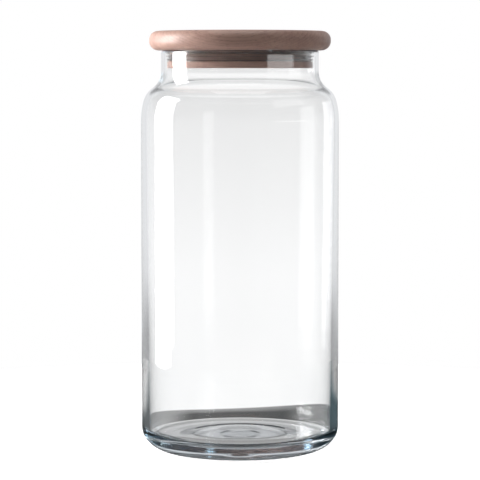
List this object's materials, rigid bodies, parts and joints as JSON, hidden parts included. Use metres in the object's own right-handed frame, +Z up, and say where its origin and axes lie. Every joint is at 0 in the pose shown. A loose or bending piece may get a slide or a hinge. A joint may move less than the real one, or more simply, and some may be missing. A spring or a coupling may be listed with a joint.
{
  "type": "glass storage jar with wooden lid",
  "caption": "Tall clear glass jar with a wide neck and a round push-in wooden lid sealed by a finned silicone ring.",
  "frame": {"origin": "centre of the foot, on the surface that the jar stands on", "axes": "+Z up along the jar's axis; X and Y level"},
  "size_m": [0.11, 0.11, 0.2335],
  "materials": {
    "clear_glass": "smooth, fire polished",
    "wood": "fine sanded and oiled",
    "silicone": "smooth, translucent"
  },
  "bodies": {
    "jar": {"glass_jar": "clear_glass"},
    "seal": {"seal_ring": "silicone"},
    "lid": {"lid_disc": "wood", "lid_plug": "wood"}
  },
  "joints": [
    {"name": "lid_lift", "type": "slide", "parent": "jar", "child": "seal", "axis": [0, 0, 1], "range_m": [0, 0.12]},
    {"name": "lid_turn", "type": "hinge", "parent": "seal", "child": "lid", "pos_m": [0, 0, 0.2226], "axis": [0, 0, 1], "continuous": true}
  ]
}
